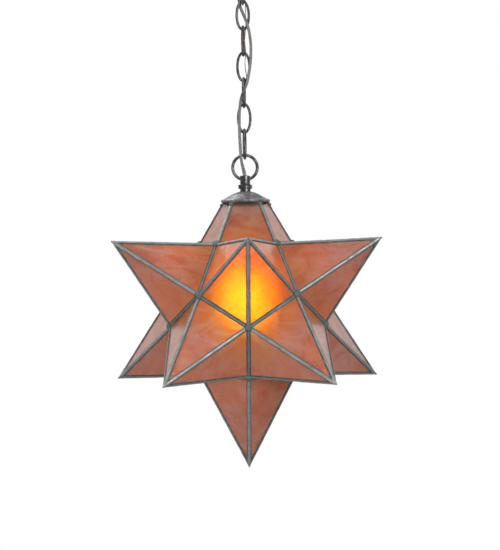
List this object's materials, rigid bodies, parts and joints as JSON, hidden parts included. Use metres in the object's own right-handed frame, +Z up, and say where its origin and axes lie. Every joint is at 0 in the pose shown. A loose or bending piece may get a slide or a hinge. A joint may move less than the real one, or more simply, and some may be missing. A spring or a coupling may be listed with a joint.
{
  "type": "moravian star pendant light",
  "caption": "Hanging star lantern: hollow spiked star of amber mica panels in soldered metal seams, on a chain with a woven cord, with a lamp inside and a ceiling canopy.",
  "frame": {"origin": "middle of the mounting strap and of the canopy's flat rim, on the ceiling", "axes": "+Z up into the ceiling, -Y towards the viewer of the picture, +X to the viewer's right"},
  "size_m": [0.324, 0.3408, 0.6643],
  "materials": {
    "amber_mica": "mottled amber mica sheet",
    "patinated_solder": "solder seam with grey-green patina",
    "gunmetal": "dark antique plating",
    "aged_pewter": "antique pewter plating",
    "zinc_plate": "zinc plate",
    "tinned_steel": "tinned",
    "hinge_brass": "tinned brass",
    "cord_insulation": "smoke grey insulation",
    "bare_copper": "bare wire, dulled",
    "socket_metal": "plated shell",
    "porcelain": "white",
    "contact_brass": "bright",
    "lamp_base_metal": "bright",
    "frosted_glass": "frosted, lit",
    "filament_metal": "bright"
  },
  "bodies": {
    "ceiling_fitting": {"ceiling_canopy": "aged_pewter", "mounting_strap": "zinc_plate", "strap_nut": "zinc_plate", "ceiling_nipple": "zinc_plate", "ceiling_collar": "aged_pewter", "ceiling_loop": "gunmetal", "supply_cord": "cord_insulation", "earth_wire": "bare_copper"},
    "link_1": {"chain_link_1": "gunmetal"},
    "link_2": {"chain_link_2": "gunmetal"},
    "link_3": {"chain_link_3": "gunmetal"},
    "link_4": {"chain_link_4": "gunmetal"},
    "link_5": {"chain_link_5": "gunmetal"},
    "link_6": {"chain_link_6": "gunmetal"},
    "link_7": {"chain_link_7": "gunmetal"},
    "star": {"bottom_point_panels": "amber_mica", "bottom_point_seams": "patinated_solder", "hinge_pin": "hinge_brass", "hinge_tubes_star": "hinge_brass", "lamp_contact": "contact_brass", "lower_front_left_point_panels": "amber_mica", "lower_front_left_point_seams": "patinated_solder", "lower_front_right_point_panels": "amber_mica", "lower_front_right_point_seams": "patinated_solder", "lower_left_point_panels": "amber_mica", "lower_left_point_seams": "patinated_solder", "lower_right_point_panels": "amber_mica", "lower_right_point_seams": "patinated_solder", "neck_washer": "aged_pewter", "nipple_nut": "zinc_plate", "screw_shell": "contact_brass", "socket_body": "porcelain", "socket_cap": "socket_metal", "socket_shell": "socket_metal", "spider": "tinned_steel", "star_collar": "aged_pewter", "star_loop": "gunmetal", "star_nipple": "zinc_plate", "top_point_panels": "amber_mica", "top_point_seams": "patinated_solder", "upper_point_1_panels": "amber_mica", "upper_point_1_seams": "patinated_solder", "upper_point_2_panels": "amber_mica", "upper_point_2_seams": "patinated_solder", "upper_point_3_panels": "amber_mica", "upper_point_3_seams": "patinated_solder", "upper_point_4_panels": "amber_mica", "upper_point_4_seams": "patinated_solder", "upper_point_5_panels": "amber_mica", "upper_point_5_seams": "patinated_solder", "vase_cap": "aged_pewter"},
    "door": {"door_panels": "amber_mica", "door_seams": "patinated_solder", "door_tab": "hinge_brass", "hinge_tubes_door": "hinge_brass"},
    "lamp": {"lamp_base": "lamp_base_metal", "lamp_filament": "filament_metal", "lamp_glass": "frosted_glass"}
  },
  "joints": [
    {"name": "link_1_swing", "type": "hinge", "parent": "ceiling_fitting", "child": "link_1", "pos_m": [0, 0, -0.067], "axis": [1, 0, 0], "range_deg": [-20, 20], "deforming": ["supply_cord"]},
    {"name": "link_2_swing", "type": "hinge", "parent": "link_1", "child": "link_2", "pos_m": [0, 0, -0.0981], "axis": [0, 1, 0], "range_deg": [-20, 20]},
    {"name": "link_3_swing", "type": "hinge", "parent": "link_2", "child": "link_3", "pos_m": [0, 0, -0.1295], "axis": [1, 0, 0], "range_deg": [-20, 20]},
    {"name": "link_4_swing", "type": "hinge", "parent": "link_3", "child": "link_4", "pos_m": [0, 0, -0.1609], "axis": [0, 1, 0], "range_deg": [-20, 20]},
    {"name": "link_5_swing", "type": "hinge", "parent": "link_4", "child": "link_5", "pos_m": [0, 0, -0.1923], "axis": [1, 0, 0], "range_deg": [-20, 20]},
    {"name": "link_6_swing", "type": "hinge", "parent": "link_5", "child": "link_6", "pos_m": [0, 0, -0.2237], "axis": [0, 1, 0], "range_deg": [-20, 20]},
    {"name": "link_7_swing", "type": "hinge", "parent": "link_6", "child": "link_7", "pos_m": [0, 0, -0.2551], "axis": [1, 0, 0], "range_deg": [-20, 20]},
    {"name": "star_swing", "type": "hinge", "parent": "link_7", "child": "star", "pos_m": [0, 0, -0.2865], "axis": [0, 1, 0], "range_deg": [-20, 20], "deforming": ["earth_wire"]},
    {"name": "door_hinge", "type": "hinge", "parent": "star", "child": "door", "pos_m": [0.02981, 0.09176, -0.47075], "axis": [0.809, -0.2629, -0.5257], "range_deg": [0, 100]},
    {"name": "lamp_unscrew", "type": "slide", "parent": "star", "child": "lamp", "axis": [0, 0, -1], "range_m": [0, 0.026]}
  ]
}
